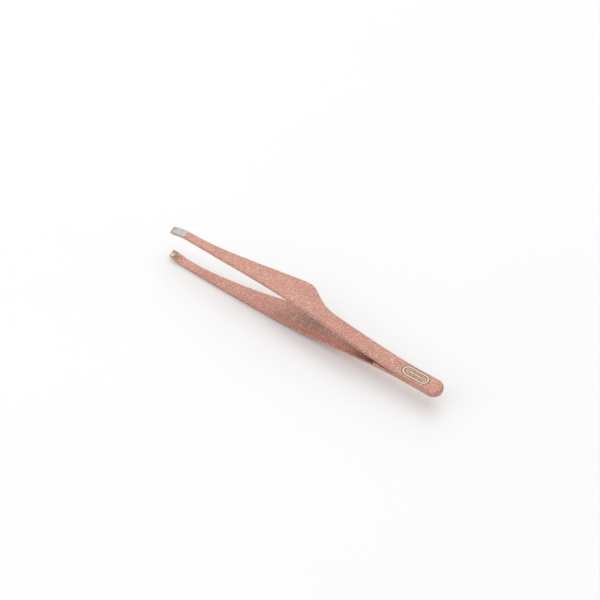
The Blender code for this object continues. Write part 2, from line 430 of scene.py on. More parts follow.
def coat_top(grind):
    """Outer face, lowered by the grind where the jaw is bare."""
    def height(station, level, across):
        bare = smooth(level, BARE_START - OUTER_BLUR, BARE_START + OUTER_BLUR)
        return outer_height(station) - grind * bare
    return height


def coat_bottom(station, level, across):
    """Inner face, closed at the butt, and raised where the jaw was ground on a slant."""
    share = np.clip((across + JAW_NEAR) / (JAW_FAR + JAW_NEAR), 0.0, 1.0)
    stop = LENGTH - INNER_BARE_NEAR - (INNER_BARE_FAR - INNER_BARE_NEAR) * share
    bare = smooth(level, stop - INNER_BLUR, stop + INNER_BLUR)
    coat_here = COAT_THICKNESS * smooth(station, COAT_THINNED, COAT_FULL)
    return (inner_height(station) - coat_here) * closed_joint(station) + COAT_STEP * bare


print(f"the outer coat stops {BARE_LENGTH / MM:.2f} mm from the tip")

# %% [markdown]
# A coat builds up on edges and flows into corners, so the outer edges of the strip are generously
# round. The inner edges are nearly sharp, and at the butt they shrink to a hairline, which leaves
# the fine line where one blade lies on the other.

# %% How round the edges are
BUTT_ROUND = 0.75 * MM
ARM_ROUND = 0.60 * MM
JAW_ROUND = 0.10 * MM
INNER_ROUND = 0.14 * MM
INNER_JAW_ROUND = 0.06 * MM
HAIRLINE = 0.02 * MM
OPENING_LENGTH = 3 * MM


def outer_rounding(station):
    """Edge radius of the outer face: generous on the body, small at the jaw."""
    past_butt = smooth(station, 8 * MM, 20 * MM)
    at_jaw = smooth(station, LENGTH - 6 * MM, LENGTH - 3.5 * MM)
    return BUTT_ROUND - (BUTT_ROUND - ARM_ROUND) * past_butt - (ARM_ROUND - JAW_ROUND) * at_jaw


def inner_rounding(open_station):
    """Edge radius of the inner face: a hairline where the blades are joined."""
    def radius(station):
        opened = smooth(station, open_station, open_station + OPENING_LENGTH)
        jaw = smooth(station, LENGTH - 18 * MM, LENGTH - 5 * MM)
        return HAIRLINE + opened * (INNER_ROUND - (INNER_ROUND - INNER_JAW_ROUND) * jaw)
    return radius


print(f"outer edges: {outer_rounding(0.0) / MM:.2f} mm at the butt, "
      f"{outer_rounding(LENGTH) / MM:.2f} mm at the jaw")

# %% [markdown]
# Both arms are the same skin. The lower one is turned over by its sign, and it opens from its mate
# further forward, because the wedge fills the joint on that side.

# %% The coated arms
COAT_STOP = 0.7 * MM
COAT_CORNER = 0.3 * MM
SLIT_START = 12.4 * MM
STEP_FINE = 0.1 * MM
STEP_COARSE = 0.45 * MM
BUTT_ROW_COUNT = 22
fine_from = LENGTH - 7.0 * MM
coat_end = LENGTH - COAT_STOP
coat_rows = join_rows(
    butt_rows(BUTT_ROW_COUNT),
    body_rows(BUTT_END_LENGTH, fine_from, STEP_COARSE, 0.0),
    body_rows(fine_from, coat_end - COAT_CORNER, STEP_FINE, 0.0),
    corner_rows(coat_end, 1.0, COAT_CORNER, 0.0),
)
arms = {}
for blade, sign, open_station in (("upper", 1, SLIT_START), ("lower", -1, WEDGE_END)):
    skin = wrap(coat_rows, coat_top(OUTER_GRIND[blade]), coat_bottom, outer_rounding,
                inner_rounding(open_station), sign)
    arms[blade] = grid_piece(blade + "_coated_arm", skin)

# %% [markdown]
# ## The bare jaws
# Each jaw is the same strip without its coat, so it sits just inside the coated body and stands
# through it where the faces were ground. The last third of a millimetre of the outer face is
# chamfered to a fine edge, which is what grips a hair.

# %% Heights and edges of the bare steel
STEEL_INSET = 0.035 * MM
STEEL_DEPTH = 0.025 * MM
CHAMFER_LENGTH = 0.35 * MM
CHAMFER_DEPTH = 0.12 * MM
GROUND_ROUND = 0.08 * MM
COVERED_ROUND = 0.68 * MM
INNER_GROUND_ROUND = 0.06 * MM


def steel_top(station, level, across):
    """Just below the coat's face, less a straight chamfer at the very end."""
    into_chamfer = np.clip(level - (LENGTH - CHAMFER_LENGTH), 0.0, None) / CHAMFER_LENGTH
    return outer_height(station) - STEEL_DEPTH - CHAMFER_DEPTH * into_chamfer


def steel_bottom(station, level, across):
    """Inside the strip at first, and on the ground jaw line at the tip."""
    return inner_height(station) + STEEL_DEPTH * (1 - smooth(level, LENGTH - 3 * MM, LENGTH))


def ground_edge(station):
    """As round as the coat while it is under it, then nearly sharp where it is ground."""
    covered = smooth(station, BARE_START + 0.3 * MM, BARE_START - 0.1 * MM)
    return GROUND_ROUND + (COVERED_ROUND - GROUND_ROUND) * covered


print(f"the chamfer falls {math.degrees(math.atan(CHAMFER_DEPTH / CHAMFER_LENGTH)):.0f} degrees")

# %% The steel jaws
STEEL_CORNER = 0.2 * MM
TIP_CORNER = 0.12 * MM
STEEL_BURIED = 1.0 * MM
STEEL_CRISP_ANGLE = 25.0
steel_start = BARE_START - STEEL_BURIED
steel_rows = join_rows(
    flip_rows(corner_rows(steel_start, -1.0, STEEL_CORNER, STEEL_INSET)),
    body_rows(steel_start + STEEL_CORNER, LENGTH - TIP_CORNER, STEP_FINE, STEEL_INSET),
    corner_rows(LENGTH, 1.0, TIP_CORNER, STEEL_INSET),
)
jaws = {}
for blade, sign in (("upper", 1), ("lower", -1)):
    core = wrap(steel_rows, steel_top, steel_bottom, ground_edge, even_edge(INNER_GROUND_ROUND), sign)
    jaws[blade] = grid_piece(blade + "_steel_jaw", core, STEEL_CRISP_ANGLE)

# %% [markdown]
# ## The spacer wedge
# A short wedge in the crotch holds the lower blade off the upper one, and a thin slit stays open
# above it. It is the same wrapped strip, with its sides flush with the blades.

# %% The wedge
WEDGE_SLIT = 0.75 * MM
WEDGE_BURIED_START = 11.0 * MM
WEDGE_SIDE_INSET = 0.012 * MM
WEDGE_OVERLAP = 0.15 * MM
WEDGE_CORNER = 0.2 * MM
WEDGE_ROUND = 0.06 * MM


def wedge_top(station, level, across):
    """Upper blade's inner face less a slit that widens evenly from nothing."""
    slit = WEDGE_SLIT * (station - SLIT_START) / (WEDGE_END - SLIT_START)
    return inner_height(station) * closed_joint(station) - slit


def wedge_bottom(station, level, across):
    """A little inside the lower blade."""
    return -inner_height(station) * closed_joint(station) - WEDGE_OVERLAP


wedge_rows = join_rows(
    flip_rows(corner_rows(WEDGE_BURIED_START, -1.0, WEDGE_CORNER, WEDGE_SIDE_INSET)),
    body_rows(WEDGE_BURIED_START + WEDGE_CORNER, WEDGE_END - WEDGE_CORNER, STEP_COARSE, WEDGE_SIDE_INSET),
    corner_rows(WEDGE_END, 1.0, WEDGE_CORNER, WEDGE_SIDE_INSET),
)
wedge = grid_piece("crotch_wedge", wrap(wedge_rows, wedge_top, wedge_bottom, even_edge(WEDGE_ROUND),
                                        even_edge(WEDGE_ROUND), 1))

# %% [markdown]
# ## The spot welds
# A spot weld is a lens of fused metal between the two strips, with a slightly wavy rim where the
# metal was squeezed out. It is hidden in the butt. A half ellipse turned about its axis makes a
# lens, and a small sine round the rim makes the waves. A squashed sphere would do, without a rim.

# %% The weld lenses
WELD_FIT = 0.98
FLASH_WAVES = 9
FLASH_DEPTH = 0.02


def weld_lens(name, node, rings=24, steps=48):
    """Half ellipse from pole to pole, turned about the upright axis through the node's middle."""
    lens_low, lens_high = (np.array(corner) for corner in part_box(node))
    centre, half = (lens_low + lens_high) / 2, (lens_high - lens_low) / 2
    tilt = np.linspace(0.0, math.pi, rings + 1)[:, None]
    turn = np.linspace(0.0, 2 * math.pi, steps, endpoint=False)[None, :]
    flash = 1 + FLASH_DEPTH * np.sin(FLASH_WAVES * turn) * np.sin(tilt) ** 4
    points = np.stack([
        centre[0] + half[0] * WELD_FIT * np.sin(tilt) * np.cos(turn) * flash,
        centre[1] + half[1] * WELD_FIT * np.sin(tilt) * np.sin(turn) * flash,
        centre[2] + half[2] * np.cos(tilt) + 0 * turn,
    ], axis=-1)
    return grid_piece(name, points)


welds = {node: weld_lens(node.replace("weld", "weld_lens"), node) for node in ("weld_rear", "weld_front")}

# %% [markdown]
# ## The etched mark
# Makers burn a small mark through the coat at the butt. Here it is a plain one, a long ring round
# a bar. Each stroke is a narrow ribbon carried along a path. First come the two paths: a path is
# a pair of arrays, the stations and the distances across.

# %% Paths of the mark
MARK_STATION = 8.8 * MM
MARK_HALF_LENGTH = 3.9 * MM
MARK_HALF_WIDTH = 1.55 * MM
BAR_HALF_LENGTH = 1.9 * MM


def ring_path(count=96):
    """Straight runs joined by two half circles, walked at an even pace."""
    straight = 2 * (MARK_HALF_LENGTH - MARK_HALF_WIDTH)
    arc = math.pi * MARK_HALF_WIDTH
    around = 2 * straight + 2 * arc
    walk = np.linspace(0.0, around, count, endpoint=False)
    turn = np.where(walk < arc, walk, walk - straight) / MARK_HALF_WIDTH
    round_x, round_y = MARK_HALF_WIDTH * np.sin(turn), -MARK_HALF_WIDTH * np.cos(turn)
    stretches = [walk < arc, walk < arc + straight, walk < 2 * arc + straight]
    x = np.select(stretches,
                  [straight / 2 + round_x, straight / 2 - (walk - arc), -straight / 2 + round_x],
                  walk - 2 * arc - 1.5 * straight)
    y = np.select(stretches, [round_y, MARK_HALF_WIDTH + 0 * walk, round_y], -MARK_HALF_WIDTH)
    return MARK_STATION + x, y


def bar_path(count=24):
    """A straight stroke along the blade, in the middle of the ring."""
    along = np.linspace(-BAR_HALF_LENGTH, BAR_HALF_LENGTH, count)
    return MARK_STATION + along, 0.0 * along


print(f"the ring is {np.ptp(ring_path()[0]) / MM:.1f} by {np.ptp(ring_path()[1]) / MM:.1f} mm")

# %% [markdown]
# A ribbon is a low, flat-topped ridge that follows the face below it. A wider and lower ribbon
# under each stroke gives the scorched rim that the burning leaves. Painting the mark in the
# coat's material would be simpler, but a real stroke has an edge that catches the light.

# %% Strokes of the mark
RIBBON_ROOT = 0.03 * MM
SIDE_SHARE = 0.3
RIBBON_CRISP_ANGLE = 30.0
ETCHED_WIDTH = 0.52 * MM
ETCHED_LIFT = 0.020 * MM
SCORCHED_WIDTH = 0.96 * MM
SCORCHED_LIFT = 0.008 * MM


def ribbon(name, path, width, lift, closed):
    """Six-sided section carried along the path, square to it, and lifted off the outer face."""
    along, across = path
    if closed:
        run = np.roll(along, -1) - np.roll(along, 1)
        rise = np.roll(across, -1) - np.roll(across, 1)
    else:
        run, rise = np.gradient(along), np.gradient(across)
    size = np.hypot(run, rise)
    shoulder = width / 2 - lift
    side_lift = SIDE_SHARE * lift
    offset = np.array([-width / 2, -width / 2, -shoulder, shoulder, width / 2, width / 2])[None, :]
    raised = np.array([-RIBBON_ROOT, side_lift, lift, lift, side_lift, -RIBBON_ROOT])[None, :]
    station = along[:, None] - offset * (rise / size)[:, None]
    side = across[:, None] + offset * (run / size)[:, None]
    height = outer_height(station) + raised
    points = np.stack([high[0] - station, CENTRE_Y + side, MIDDLE_Z + height], axis=-1)
    if closed:
        points = np.concatenate([points, points[:1]])
    else:
        first, last = (end.mean(axis=1, keepdims=True) for end in (points[:1], points[-1:]))
        points = np.concatenate([first + 0 * points[:1], points, last + 0 * points[-1:]])
    return grid_piece(name, points, RIBBON_CRISP_ANGLE)


strokes = {"ring": (ring_path(), True), "bar": (bar_path(), False)}
etched, scorched = [], []
for stroke, (path, closed) in strokes.items():
    etched.append(ribbon("etched_" + stroke, path, ETCHED_WIDTH, ETCHED_LIFT, closed))
    scorched.append(ribbon("scorched_" + stroke, path, SCORCHED_WIDTH, SCORCHED_LIFT, closed))

# %% [markdown]
# ## Shader helpers
# Node trees are long to write out, so small helpers place a node, set its sockets and join them. A
# value passed as a socket is linked, and any other value is set.

# %% Placing and joining nodes
def plug(tree, socket, value):
    """Link a socket to a socket, or set it to a plain value."""
    if isinstance(value, bpy.types.NodeSocket):
        tree.links.new(value, socket)
    else:
        socket.default_value = value


def add(tree, kind, settings=None, **sockets):
    """Place a node, set its properties, then link or set each named input."""
    node = tree.nodes.new(kind)
    for key, value in (settings or {}).items():
        setattr(node, key, value)
    for key, value in sockets.items():
        plug(tree, node.inputs[key.replace("_", " ")], value)
    return node


def plug_in_order(tree, inputs, values):
    for socket, value in zip(inputs, values):
        plug(tree, socket, value)


print(f"a socket name such as {'Base_Color'.replace('_', ' ')} is passed with an underscore")


# %% Sums, mixes and ramps
def math_node(tree, operation, *values, clamp=False):
    node = add(tree, "ShaderNodeMath", {"operation": operation, "use_clamp": clamp})
    plug_in_order(tree, node.inputs, values)
    return node.outputs[0]


def vector_node(tree, operation, *values):
    node = add(tree, "ShaderNodeVectorMath", {"operation": operation})
    plug_in_order(tree, node.inputs, values)
    return node.outputs[0]


def scale_colour(tree, colour, factor):
    """Every channel of a colour times one factor."""
    node = add(tree, "ShaderNodeVectorMath", {"operation": "SCALE"}, Scale=factor)
    plug(tree, node.inputs[0], colour)
    return node.outputs[0]


def mix_colour(tree, factor, first, second, mode="MIX"):
    node = add(tree, "ShaderNodeMix", {"data_type": "RGBA", "blend_type": mode})
    plug_in_order(tree, (node.inputs[0], node.inputs[6], node.inputs[7]), (factor, first, second))
    return node.outputs[2]


def remap(tree, value, low_in, high_in, low_out, high_out):
    """A soft step between two values of the input, as smooth() is for the shapes."""
    node = add(tree, "ShaderNodeMapRange", {"interpolation_type": "SMOOTHSTEP"})
    plug_in_order(tree, node.inputs, (value, low_in, high_in, low_out, high_out))
    return node.outputs[0]


def colour_ramp(tree, factor, stops):
    node = add(tree, "ShaderNodeValToRGB", Fac=factor)
    elements = node.color_ramp.elements
    while len(elements) < len(stops):
        elements.new(1.0)
    for element, (place, colour) in zip(elements, stops):
        element.position = place
        element.color = (*colour, 1.0)
    return node.outputs["Color"]



# %% [markdown]
# A shader node group is a small tree that several materials place with their own values. Its
# sockets are named once. The helpers below also give the place of the point that is being
# shaded, in the piece's own frame, so a pattern stays on its piece when the piece moves.

# %% Groups and places
def new_group(name, inputs, outputs):
    """Node group whose sockets are given as name and kind, with a default for each input."""
    tree = bpy.data.node_groups.new(name, "ShaderNodeTree")
    for label, kind, default in inputs:
        socket = tree.interface.new_socket(label, in_out="INPUT", socket_type="NodeSocket" + kind)
        if default is not None:
            socket.default_value = default
    for label, kind in outputs:
        tree.interface.new_socket(label, in_out="OUTPUT", socket_type="NodeSocket" + kind)
    print(f"group {name}: {len(inputs)} inputs, {len(outputs)} outputs")
    return tree, tree.nodes.new("NodeGroupInput").outputs, tree.nodes.new("NodeGroupOutput").inputs


def use_group(tree, group, **sockets):
    return add(tree, "ShaderNodeGroup", {"node_tree": group}, **sockets).outputs


def object_place(tree):
    return add(tree, "ShaderNodeTexCoord").outputs["Object"]


def split_place(tree):
    """X, Y and Z of the shaded point, in the piece's own frame."""
    return add(tree, "ShaderNodeSeparateXYZ", Vector=object_place(tree)).outputs


def by_station(tree, x, first, last, low_out, high_out):
    """A soft step between two stations, which run against X."""
    return remap(tree, x, float(high[0] - first), float(high[0] - last), low_out, high_out)


def by_side(tree, y, first, last, low_out, high_out):
    """A soft step across the blade, from its centre line towards the finger rest."""
    return remap(tree, y, float(CENTRE_Y + first), float(CENTRE_Y + last), low_out, high_out)


# %% [markdown]
# ## Effects that several finishes share
# Cloudiness is a slow noise that keeps any large face from looking printed. The coat, the bare
# steel and the floor take some.

# %% Cloudiness
cloud_tree, cloud_in, cloud_out = new_group(
    "cloudiness", [("Grain", "Float", 300.0), ("Low", "Float", 0.9), ("High", "Float", 1.1)],
    [("Value", "Float")])
noise = add(cloud_tree, "ShaderNodeTexNoise", Vector=object_place(cloud_tree), Scale=cloud_in["Grain"],
            Detail=4.0)
spread_out = remap(cloud_tree, noise.outputs[0], 0.3, 0.7, cloud_in["Low"], cloud_in["High"])
cloud_tree.links.new(spread_out, cloud_out["Value"])

# %% [markdown]
# The inner faces of the blades look different from the outer ones: the coat carries painted shade there,
# and the jaws were ground by another wheel. A face is an inner one when it looks towards the middle plane,
# so the mask is the normal's Z, with its sign turned round above that plane.

# %% Inner faces
inner_tree, inner_in, inner_out = new_group(
    "inner_face", [("Middle", "Float", 0.0)], [("Mask", "Float")])
coordinates = add(inner_tree, "ShaderNodeTexCoord").outputs
height = add(inner_tree, "ShaderNodeSeparateXYZ", Vector=coordinates["Object"]).outputs[2]
facing = add(inner_tree, "ShaderNodeSeparateXYZ", Vector=coordinates["Normal"]).outputs[2]
side = math_node(inner_tree, "SIGN", math_node(inner_tree, "SUBTRACT", inner_in["Middle"], height))
towards = math_node(inner_tree, "MULTIPLY", facing, side)
inner_tree.links.new(remap(inner_tree, towards, 0.2, 0.8, 0.0, 1.0), inner_out["Mask"])

# %% [markdown]
# Grinding leaves fine lines along the way the wheel ran. Noise does that when its place is
# squeezed along one direction, which draws each grain out into a line.

# %% Grinding lines
grind_tree, grind_in, grind_out = new_group(
    "grinding_lines", [("Stretch", "Vector", (1.0, 1.0, 1.0)), ("Fineness", "Float", 9000.0)],
    [("Line", "Float"), ("Height", "Float")])
stretched = vector_node(grind_tree, "MULTIPLY", object_place(grind_tree), grind_in["Stretch"])
lines = add(grind_tree, "ShaderNodeTexNoise", Vector=stretched, Scale=grind_in["Fineness"], Detail=3.0)
strong = remap(grind_tree, lines.outputs[0], 0.35, 0.65, 0.0, 1.0)
grind_tree.links.new(strong, grind_out["Line"])
grind_tree.links.new(lines.outputs[0], grind_out["Height"])

# %% [markdown]
# Glitter is a cell pattern. Each cell may hold one flake, which has its own shade and leans its own
# way, so neighbouring flakes catch different lights. The group takes a normal and passes one on, so
# flakes of several sizes can be laid over one another.

# %% Glitter
FLAKE_CORE = 0.26
FLAKE_RIM = 0.42
flake_tree, flake_in, flake_out = new_group(
    "glitter_flakes",
    [("Per Metre", "Float", 4000.0), ("Share", "Float", 0.5), ("Lean", "Float", 0.3),
     ("Normal", "Vector", None)],
    [("Mask", "Float"), ("Pick", "Float"), ("Normal", "Vector")])
cells = add(flake_tree, "ShaderNodeTexVoronoi", Vector=object_place(flake_tree),
            Scale=flake_in["Per Metre"])
chance = add(flake_tree, "ShaderNodeSeparateColor", Color=cells.outputs["Color"]).outputs
present = math_node(flake_tree, "LESS_THAN", chance[0], flake_in["Share"])
disc = remap(flake_tree, cells.outputs["Distance"], FLAKE_CORE, FLAKE_RIM, 1.0, 0.0)
mask = math_node(flake_tree, "MULTIPLY", present, disc)
lean_way = vector_node(flake_tree, "SUBTRACT", cells.outputs["Color"], (0.5, 0.5, 0.5))
leaning = math_node(flake_tree, "MULTIPLY", mask, flake_in["Lean"])
leant = vector_node(flake_tree, "ADD", flake_in["Normal"], scale_colour(flake_tree, lean_way, leaning))
flake_tree.links.new(mask, flake_out["Mask"])
flake_tree.links.new(chance[1], flake_out["Pick"])
flake_tree.links.new(vector_node(flake_tree, "NORMALIZE", leant), flake_out["Normal"])

# %% [markdown]
# ## The finishes
# The coat is a rose lacquer over foil dust. Dust flakes vary between rose and brown, and darker and
# lighter flecks lie over them. Larger sparkles are thinner on the ground, in warm white, pale gold
# and cool silver. Painting an image of glitter would show its repeat, and this never does.

# %% Materials and the three sizes of flake
def new_material(name):
    made = bpy.data.materials.new(name)
    made.use_nodes = True
    print(f"material {name}")
    return made, made.node_tree, made.node_tree.nodes["Principled BSDF"]


def finish_with(tree, shader, **sockets):
    for key, value in sockets.items():
        plug(tree, shader.inputs[key.replace("_", " ")], value)


def times_cloud(tree, colour, cloud):
    return mix_colour(tree, 1.0, colour, scale_colour(tree, (1.0, 1.0, 1.0), cloud), "MULTIPLY")


def lay_flakes(tree):
    """Dust in every cell, flecks in two thirds of theirs and sparkles in a fifth, one on another."""
    surface = add(tree, "ShaderNodeNewGeometry").outputs["Normal"]
    dust = use_group(tree, flake_tree, Per_Metre=4600.0, Share=1.0, Lean=0.3, Normal=surface)
    fleck = use_group(tree, flake_tree, Per_Metre=4200.0, Share=0.65, Lean=0.45, Normal=dust["Normal"])
    sparkle = use_group(tree, flake_tree, Per_Metre=3500.0, Share=0.20, Lean=0.55,
                        Normal=fleck["Normal"])
    return dust, fleck, sparkle


# %% [markdown]
# Colours that belong to the coat are kept together, so that a different shade of glitter is a
# change to this cell only.

# %% Colours of the coat
DUST_SHADES = [(0.0, (0.42, 0.185, 0.135)), (0.5, (0.53, 0.252, 0.190)), (1.0, (0.63, 0.325, 0.250))]
FLECK_SHADES = [(0.0, (0.28, 0.105, 0.070)), (0.45, (0.48, 0.215, 0.160)),
                (0.55, (0.64, 0.34, 0.26)), (1.0, (0.84, 0.55, 0.44))]
SPARKLE_SHADES = [(0.0, (0.88, 0.68, 0.58)), (0.30, (0.92, 0.74, 0.46)), (0.6, (0.96, 0.86, 0.80)),
                  (0.85, (0.82, 0.78, 0.80)), (1.0, (0.88, 0.84, 0.62))]
# Painted shade and painted reflection: tints that darken the inner coat in the crotch, greyer on the
# finger-rest side.
CROTCH_SHADE_PLAIN_SIDE = (0.94, 0.76, 0.71)
CROTCH_SHADE_AND_REFLECTION_REST_SIDE = (0.46, 0.58, 0.62)
# Painted shade: brown for the concave bend behind the jaws.
JAW_BEND_SHADE_BROWN = (0.25, 0.105, 0.070, 1.0)
print(f"{len(DUST_SHADES) + len(FLECK_SHADES) + len(SPARKLE_SHADES)} shades of flake")


# %% [markdown]
# Painted shade and painted reflection: the inner faces near the crotch are darkened in the coat's colour,
# the deeper into the crotch the darker, and greyed towards the finger-rest side as a painted reflection.
# Behind the jaws the inner faces also get a brown painted shade, in the bend there.

# %% Painted shade in the crotch and in the bend behind the jaws
def crotch_painted_shade(tree, place, inside):
    """Mask of the painted crotch shade, its depth into the crotch, and the tint that it multiplies by."""
    crotch_shade_mask = math_node(tree, "MULTIPLY", inside, by_station(tree, place[0], 62 * MM, 40 * MM, 0.0, 1.0))
    depth = by_station(tree, place[0], 36 * MM, 21 * MM, 1.0, 0.35)
    rest_side = by_side(tree, place[1], -1.9 * MM, 4.2 * MM, 0.0, 1.0)
    plain_side_shade = scale_colour(tree, CROTCH_SHADE_PLAIN_SIDE, math_node(tree, "POWER", depth, 0.4))
    rest_side_shade_and_reflection = scale_colour(tree, CROTCH_SHADE_AND_REFLECTION_REST_SIDE, depth)
    return crotch_shade_mask, depth, mix_colour(tree, rest_side, plain_side_shade, rest_side_shade_and_reflection)


def jaw_bend_painted_shade(tree, place, inside):
    """Mask of the brown painted shade in the bend: inner faces behind the jaw, stronger on the plain side.
    """
    along = by_station(tree, place[0], LENGTH - 5.5 * MM, LENGTH - 1.6 * MM, 0.0, 1.0)
    across = by_side(tree, place[1], 1.2 * MM, -0.6 * MM, 0.15, 0.8)
    return math_node(tree, "MULTIPLY", math_node(tree, "MULTIPLY", along, across), inside)


# %% [markdown]
# Where a sparkle lies, the surface is more metallic and less rough, and its normal leans. A thin
# clear layer over everything gives the lacquer its soft shine.

# %% The glitter coat
def make_coat():
    made, tree, shader = new_material("rose_glitter_coat")
    dust, fleck, sparkle = lay_flakes(tree)
    place = split_place(tree)
    inside = use_group(tree, inner_tree, Middle=float(MIDDLE_Z))["Mask"]
    # Painted shade and painted reflection in the crotch: a mask, its depth and the tint that darkens and
    # greys the inner coat.
    crotch_shade_mask, depth, crotch_shade_tint = crotch_painted_shade(tree, place, inside)
    cloud = use_group(tree, cloud_tree, Grain=160.0, Low=0.95, High=1.05)["Value"]
    body = colour_ramp(tree, dust["Pick"], DUST_SHADES)
    body = mix_colour(tree, fleck["Mask"], body, colour_ramp(tree, fleck["Pick"], FLECK_SHADES))
    # Painted shade: the inner coat near the crotch is multiplied by the crotch tint.
    body = mix_colour(tree, crotch_shade_mask, body, mix_colour(tree, 1.0, body, crotch_shade_tint, "MULTIPLY"))
    # Painted shade: brown in the concave bend on the inner faces behind the jaws.
    body = mix_colour(tree, jaw_bend_painted_shade(tree, place, inside), body, JAW_BEND_SHADE_BROWN)
    bright = colour_ramp(tree, sparkle["Pick"], SPARKLE_SHADES)
    # Painted shade: sparkles in the crotch are dimmed with the depth too.
    sparkle_in_painted_shade = scale_colour(tree, bright, math_node(tree, "POWER", depth, 0.5))
    body = mix_colour(tree, sparkle["Mask"], body, mix_colour(tree, crotch_shade_mask, bright, sparkle_in_painted_shade))
    body = times_cloud(tree, body, cloud)
    # Painted light: the coat gets up to 7 % lighter towards the jaw, from 13 mm before the tip to 6 mm
    # before it, where the hook takes more light.
    body = scale_colour(tree, body, by_station(
        tree, place[0], LENGTH - 13 * MM, LENGTH - 6 * MM, 1.0, 1.07))
    metal = remap(tree, sparkle["Mask"], 0.0, 1.0, 0.35, 0.75)
    rough = remap(tree, sparkle["Mask"], 0.0, 1.0, 0.48, 0.32)
    finish_with(tree, shader, Base_Color=body, Metallic=metal, Roughness=rough,
                Normal=sparkle["Normal"], Coat_Weight=0.2, Coat_Roughness=0.3)
    return made


coat = make_coat()

# %% [markdown]
# Bare steel is fully metallic. Grinding runs across the jaw, and the very end keeps the straw
# tint that the grinding heat left, so its colour goes by the distance from the slanted jaw edge.
# The inner jaw face is darker, with a warm tint on the plain side.

# %% Colours of the ground jaw
STEEL_DARK, STEEL_LIGHT = (0.40, 0.41, 0.395, 1.0), (0.54, 0.545, 0.52, 1.0)
INNER_GREY, INNER_WARM = (0.25, 0.235, 0.21, 1.0), (0.56, 0.47, 0.34, 1.0)
STRAW = (0.50, 0.36, 0.17, 1.0)
STRAW_NEAR = 1.1 * MM
STRAW_FAR = 2.0 * MM
BUMP_DEPTH = 0.01 * MM


def straw_tint(tree, place):
    """Strongest at the jaw edge, gone a millimetre or two behind it."""
    slope = SLANT_RUN / (JAW_FAR + JAW_NEAR)
    behind = math_node(tree, "SUBTRACT", place[0], float(low[0]))
    aside = math_node(tree, "SUBTRACT", place[1], float(CENTRE_Y + JAW_FAR))
    from_edge = math_node(tree, "ADD", behind, math_node(tree, "MULTIPLY", aside, slope))
    reach = by_side(tree, place[1], -JAW_NEAR, JAW_FAR, STRAW_NEAR, STRAW_FAR)
    return remap(tree, from_edge, 0.2 * MM, reach, 0.9, 0.0)


def inner_jaw(tree, place):
    """Grey to warm, by a patchy noise and by the distance from the plain side."""
    patches = use_group(tree, cloud_tree, Grain=700.0, Low=-0.2, High=0.3)["Value"]
    plain_side = by_side(tree, place[1], -JAW_NEAR, JAW_FAR, 1.0, 0.0)
    warm = math_node(tree, "ADD", patches, plain_side, clamp=True)
    return mix_colour(tree, warm, INNER_GREY, INNER_WARM)


print(f"the straw tint reaches {STRAW_NEAR / MM:.1f} to {STRAW_FAR / MM:.1f} mm back")


# %% The ground steel
def make_bare_steel():
    made, tree, shader = new_material("ground_bare_steel")
    lines = use_group(tree, grind_tree, Stretch=(1.0, 0.12, 1.0), Fineness=7000.0)
    cloud = use_group(tree, cloud_tree, Grain=900.0, Low=0.90, High=1.05)["Value"]
    place = split_place(tree)
    inside = use_group(tree, inner_tree, Middle=float(MIDDLE_Z))["Mask"]
    steel = mix_colour(tree, lines["Line"], STEEL_DARK, STEEL_LIGHT)
    steel = mix_colour(tree, straw_tint(tree, place), steel, STRAW)
    steel = mix_colour(tree, inside, steel, inner_jaw(tree, place))
    rough = remap(tree, lines["Line"], 0.0, 1.0, 0.34, 0.46)
    bump = add(tree, "ShaderNodeBump", Height=lines["Height"], Strength=0.25, Distance=BUMP_DEPTH)
    finish_with(tree, shader, Base_Color=times_cloud(tree, steel, cloud), Metallic=1.0,
                Roughness=rough, Normal=bump.outputs[0])
    return made


bare_steel = make_bare_steel()


# %% [markdown]
# The other metals are small areas: the etched strokes, which scatter light, the charred rim round
# them, and the fused steel of the welds. One function makes all three from two shades and a range
# of roughness, because they differ in nothing else.

# %% Etched, scorched and fused metal
def make_plain_metal(name, dark, light, smoothest, roughest, metallic):
    """A metal between two shades, mixed by the grinding lines."""
    made, tree, shader = new_material(name)
    lines = use_group(tree, grind_tree, Fineness=5000.0)
    shade = mix_colour(tree, lines["Line"], (*dark, 1.0), (*light, 1.0))
    rough = remap(tree, lines["Line"], 0.0, 1.0, smoothest, roughest)
    bump = add(tree, "ShaderNodeBump", Height=lines["Height"], Strength=0.2, Distance=BUMP_DEPTH)
    finish_with(tree, shader, Base_Color=shade, Metallic=metallic, Roughness=rough,
                Normal=bump.outputs[0])
    return made


etched_steel = make_plain_metal(
    "etched_steel", (0.56, 0.51, 0.39), (0.72, 0.66, 0.52), 0.40, 0.55, 0.5)
scorched_coat = make_plain_metal(
    "scorched_coat", (0.055, 0.032, 0.024), (0.13, 0.075, 0.052), 0.55, 0.75, 0.2)
fused_steel = make_plain_metal(
    "fused_steel", (0.22, 0.21, 0.21), (0.40, 0.38, 0.36), 0.45, 0.65, 1.0)

# %% [markdown]
# ## Dress the pieces and hand them to the frame
# Each coated arm crosses the place where the blade flexes. On the real tweezers that bend is spread over
# the neck, so the arm is attached to neither body, and its place is baked into its mesh. Everything else
# rides on one body. A piece that takes the place of CAD nodes names them.


def dress(piece, material, body, slot, nodes=()):
    piece.data.materials.append(material)
    if body:
        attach(piece, body)
    if nodes:
        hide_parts(*nodes)
    print(f"{piece.name}: {slot} on {body or 'both sides of the bend'}")


for blade in ("upper", "lower"):
    dress(arms[blade], coat, None, "glitter_coat", (blade + "_butt", blade + "_arm"))
    dress(jaws[blade], bare_steel, blade + "_blade", "bare_steel", (blade + "_jaw",))
    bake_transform(arms[blade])
dress(wedge, coat, "butt", "glitter_coat", ("spacer_wedge",))
for node, lens in welds.items():
    dress(lens, fused_steel, "butt", "weld_steel", (node,))
for piece in etched:
    dress(piece, etched_steel, "butt", "bare_steel")
for piece in scorched:
    dress(piece, scorched_coat, "butt", "glitter_coat")

